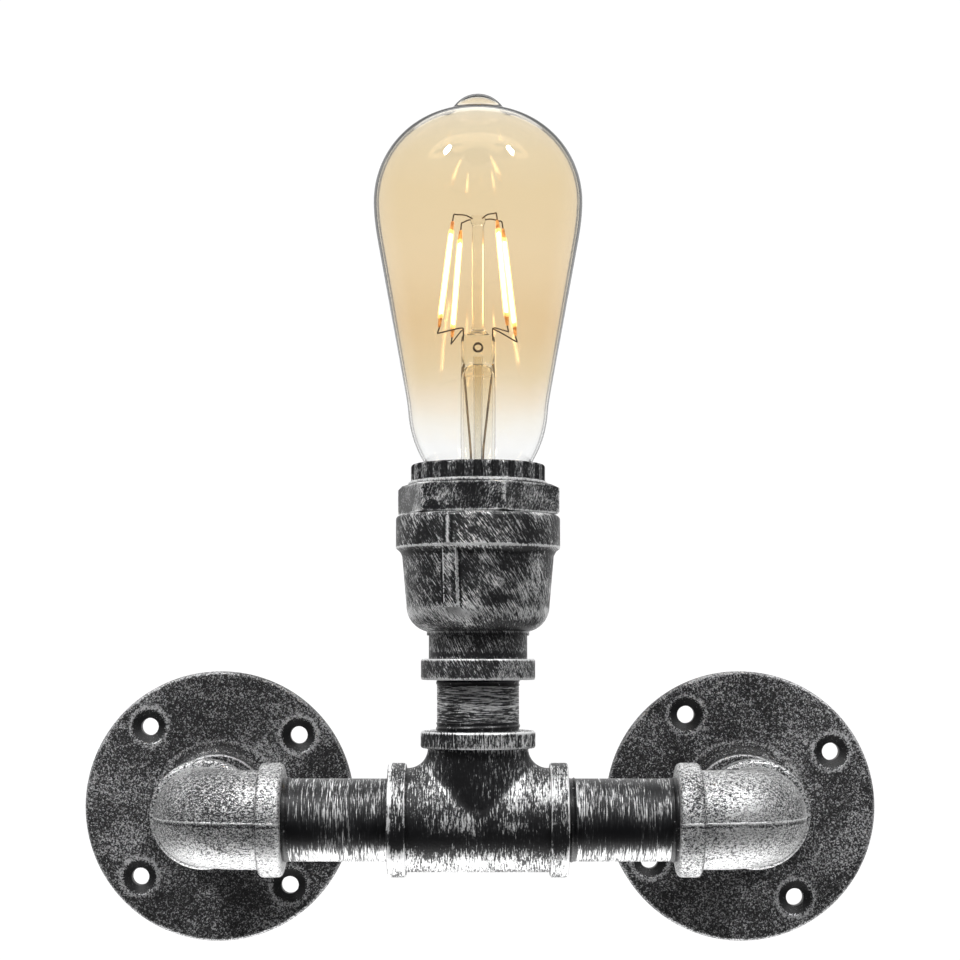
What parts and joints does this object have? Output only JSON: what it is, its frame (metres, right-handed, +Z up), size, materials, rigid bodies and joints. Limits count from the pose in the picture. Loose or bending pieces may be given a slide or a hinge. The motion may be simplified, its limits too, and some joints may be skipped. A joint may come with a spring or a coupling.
{
  "type": "industrial pipe wall light",
  "caption": "Industrial pipe wall light: flanged pipe arms meet at a tee that carries an upright cup with a screw lampholder, a fluted shade ring and a pear-shaped filament bulb.",
  "frame": {"origin": "on the wall plane, midway between the axes of the wall flanges, at the height of the cross pipe", "axes": "+Y into the wall, so -Y faces the room; +Z up along the riser and the bulb; +X along the cross pipe, to the right as seen from the room"},
  "size_m": [0.2618, 0.0941, 0.267],
  "materials": {
    "flange_iron": "blackened cast iron, dry-brushed with silver",
    "elbow_iron": "blackened cast iron, dry-brushed with silver",
    "tee_iron": "blackened cast iron, dry-brushed with silver",
    "pipe_steel": "blackened steel pipe, brushed along with silver",
    "cup_iron": "blackened cast iron, dry-brushed with silver",
    "hex_iron": "blackened cast iron, dry-brushed with silver",
    "shade_ring_iron": "blackened cast iron, dry-brushed with silver",
    "holder_moulding": "black phenolic moulding",
    "holder_brass": "stamped brass",
    "screw_steel": "zinc-plated steel",
    "spring_bronze": "phosphor bronze leaf",
    "live_insulation": "brown wire insulation",
    "neutral_insulation": "blue wire insulation",
    "earth_insulation": "green and yellow wire insulation",
    "ferrule_tin": "tinned copper",
    "cap_nickel": "nickel-plated brass",
    "cap_glass_black": "black glassy insulator",
    "envelope_glass": "amber tint fading to clear at the neck",
    "stem_glass": "clear glass",
    "filament_glow": "glowing coated filament",
    "bulb_wire_metal": "nickel-iron wire",
    "tab_metal": "copper-coloured end tab",
    "board_green": "circuit board",
    "board_parts_dark": "electronic parts"
  },
  "bodies": {
    "fitting": {"left_flange": "flange_iron", "right_flange": "flange_iron", "left_wall_nipple": "pipe_steel", "right_wall_nipple": "pipe_steel", "left_elbow": "elbow_iron", "right_elbow": "elbow_iron", "left_cross_pipe": "pipe_steel", "right_cross_pipe": "pipe_steel", "tee": "tee_iron", "riser_nipple": "pipe_steel", "lamp_cup": "cup_iron", "cup_hex_ring": "hex_iron", "lampholder_body": "holder_moulding", "screw_shell": "holder_brass", "centre_terminal": "holder_brass", "shell_terminal": "holder_brass", "terminal_screws": "screw_steel", "live_wire": "live_insulation", "neutral_wire": "neutral_insulation", "earth_wire": "earth_insulation", "wire_ferrules": "ferrule_tin", "earth_lug": "ferrule_tin", "earth_screw": "screw_steel"},
    "bulb": {"bulb_glass": "envelope_glass", "bulb_cap": "cap_nickel", "cap_insulator": "cap_glass_black", "cap_contact": "cap_nickel", "glass_stem": "stem_glass", "stem_rod": "stem_glass", "filament_1": "filament_glow", "filament_2": "filament_glow", "filament_3": "filament_glow", "filament_4": "filament_glow", "filament_tabs": "tab_metal", "crown_wires": "bulb_wire_metal", "support_wires": "bulb_wire_metal", "lead_wires": "bulb_wire_metal", "driver_board": "board_green", "driver_parts": "board_parts_dark"},
    "shade_ring": {"shade_ring": "shade_ring_iron"},
    "contact_tongue": {"contact_tongue": "spring_bronze"}
  },
  "joints": [
    {"name": "bulb_lift", "type": "slide", "parent": "fitting", "child": "bulb", "axis": [0, 0, 1], "range_m": [0, 0.05]},
    {"name": "shade_ring_turn", "type": "hinge", "parent": "fitting", "child": "shade_ring", "pos_m": [-0.0006, -0.062, 0.10485], "axis": [0, 0, 1], "range_deg": [0, 720]},
    {"name": "contact_press", "type": "hinge", "parent": "fitting", "child": "contact_tongue", "pos_m": [0.0076, -0.062, 0.0767], "axis": [0, -1, 0], "range_deg": [0, 8], "stiffness_Nm_per_rad": 0.2}
  ]
}
